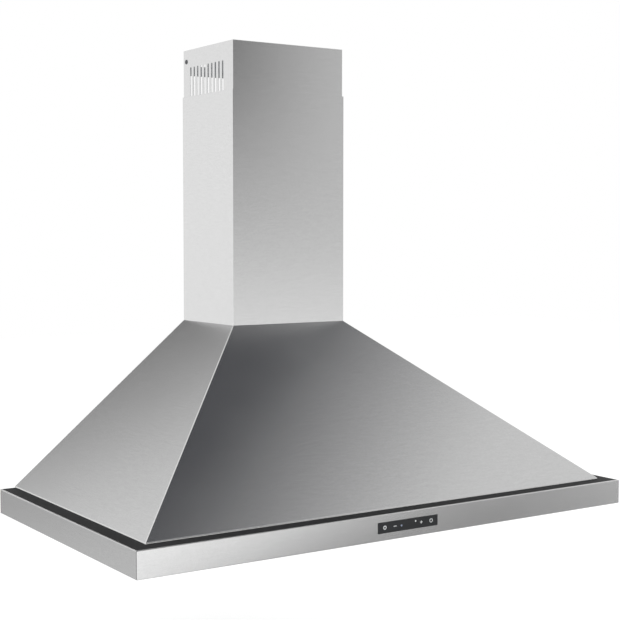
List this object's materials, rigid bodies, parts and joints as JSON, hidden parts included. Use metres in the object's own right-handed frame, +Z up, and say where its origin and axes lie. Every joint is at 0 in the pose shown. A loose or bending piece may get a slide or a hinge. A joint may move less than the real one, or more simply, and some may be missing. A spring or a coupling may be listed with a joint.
{
  "type": "chimney range hood",
  "caption": "Wall-mounted chimney range hood with a pyramid canopy, a telescoping vented chimney, baffle filters and a touch control.",
  "frame": {"origin": "on the wall plane, midway along the lower edge of the back panel, level with the rim's lower edge", "axes": "+X to the right as one faces the hood, +Y back to the wall, +Z up along the chimney"},
  "size_m": [0.9, 0.5004, 0.771],
  "materials": {
    "stainless": "brushed stainless sheet",
    "stainless_filter": "folded stainless sheet",
    "black_enamel": "black powder coat",
    "galvanised": "galvanised sheet",
    "screw_steel": "zinc plated",
    "black_glass": "polished black glass",
    "lens_glass": "frosted glass",
    "black_plastic": "moulded",
    "white_plastic": "moulded",
    "board": "circuit board",
    "lamp_metal": "cast",
    "motor_metal": "pressed steel, painted grey",
    "lead_sheath": "grey PVC sheath"
  },
  "bodies": {
    "hood": {"rim_front_panel": "stainless", "rim_left_panel": "stainless", "rim_right_panel": "stainless", "canopy_front_panel": "stainless", "canopy_left_panel": "stainless", "canopy_right_panel": "stainless", "bottom_liner": "stainless", "lower_duct_cover": "stainless", "light_bezel_left": "stainless", "light_bezel_right": "stainless", "canopy_back_panel": "galvanised", "canopy_top_plate": "galvanised", "blower_scroll": "galvanised", "blower_side_left": "galvanised", "blower_side_right": "galvanised", "blower_outlet_flange": "galvanised", "motor_bracket": "galvanised", "power_box_base": "galvanised", "power_box_lid": "galvanised", "junction_box": "galvanised", "junction_box_cover": "galvanised", "damper_rods": "galvanised", "shadow_ledge": "black_enamel", "liner_rivets": "screw_steel", "inner_screws": "screw_steel", "lower_cover_screws": "screw_steel", "control_glass": "black_glass", "light_lens_left": "lens_glass", "light_lens_right": "lens_glass", "light_body_left": "lamp_metal", "light_body_right": "lamp_metal", "control_housing": "black_plastic", "outlet_collar": "black_plastic", "terminal_block": "white_plastic", "lead_clips": "white_plastic", "motor_capacitor": "white_plastic", "control_board": "board", "power_board": "board", "motor_body": "motor_metal", "supply_lead": "lead_sheath", "motor_lead": "lead_sheath", "control_lead": "lead_sheath", "lamp_leads": "lead_sheath"},
    "upper_chimney": {"upper_duct_cover": "stainless", "upper_wall_bracket": "galvanised", "bracket_screws": "screw_steel"},
    "impeller": {"impeller": "black_plastic", "impeller_rings": "black_plastic", "impeller_blades": "black_plastic", "motor_shaft": "screw_steel"},
    "damper_front": {"damper_flap_front": "black_plastic"},
    "damper_rear": {"damper_flap_rear": "black_plastic"},
    "filter_left": {"filter_left": "stainless_filter"},
    "latch_left": {"latch_left": "black_plastic"},
    "filter_centre": {"filter_centre": "stainless_filter"},
    "latch_centre": {"latch_centre": "black_plastic"},
    "filter_right": {"filter_right": "stainless_filter"},
    "latch_right": {"latch_right": "black_plastic"}
  },
  "joints": [
    {"name": "chimney_slide", "type": "slide", "parent": "hood", "child": "upper_chimney", "axis": [0, 0, 1], "range_m": [-0.08, 0.24]},
    {"name": "impeller_spin", "type": "hinge", "parent": "hood", "child": "impeller", "pos_m": [0, -0.151, 0.15], "axis": [1, 0, 0], "continuous": true},
    {"name": "damper_front_hinge", "type": "hinge", "parent": "hood", "child": "damper_front", "pos_m": [0, -0.0905, 0.317], "axis": [-1, 0, 0], "range_deg": [0, 80]},
    {"name": "damper_rear_hinge", "type": "hinge", "parent": "hood", "child": "damper_rear", "pos_m": [0, -0.0815, 0.317], "axis": [1, 0, 0], "range_deg": [0, 80]},
    {"name": "filter_left_hinge", "type": "hinge", "parent": "hood", "child": "filter_left", "pos_m": [-0.271, -0.0695, 0.016], "axis": [1, 0, 0], "range_deg": [0, 50]},
    {"name": "latch_left_slide", "type": "slide", "parent": "filter_left", "child": "latch_left", "axis": [0, 1, 0], "range_m": [0, 0.006], "stiffness_N_per_m": 600, "springref_m": -0.003},
    {"name": "filter_centre_hinge", "type": "hinge", "parent": "hood", "child": "filter_centre", "pos_m": [0, -0.0695, 0.016], "axis": [1, 0, 0], "range_deg": [0, 50]},
    {"name": "latch_centre_slide", "type": "slide", "parent": "filter_centre", "child": "latch_centre", "axis": [0, 1, 0], "range_m": [0, 0.006], "stiffness_N_per_m": 600, "springref_m": -0.003},
    {"name": "filter_right_hinge", "type": "hinge", "parent": "hood", "child": "filter_right", "pos_m": [0.271, -0.0695, 0.016], "axis": [1, 0, 0], "range_deg": [0, 50]},
    {"name": "latch_right_slide", "type": "slide", "parent": "filter_right", "child": "latch_right", "axis": [0, 1, 0], "range_m": [0, 0.006], "stiffness_N_per_m": 600, "springref_m": -0.003}
  ]
}
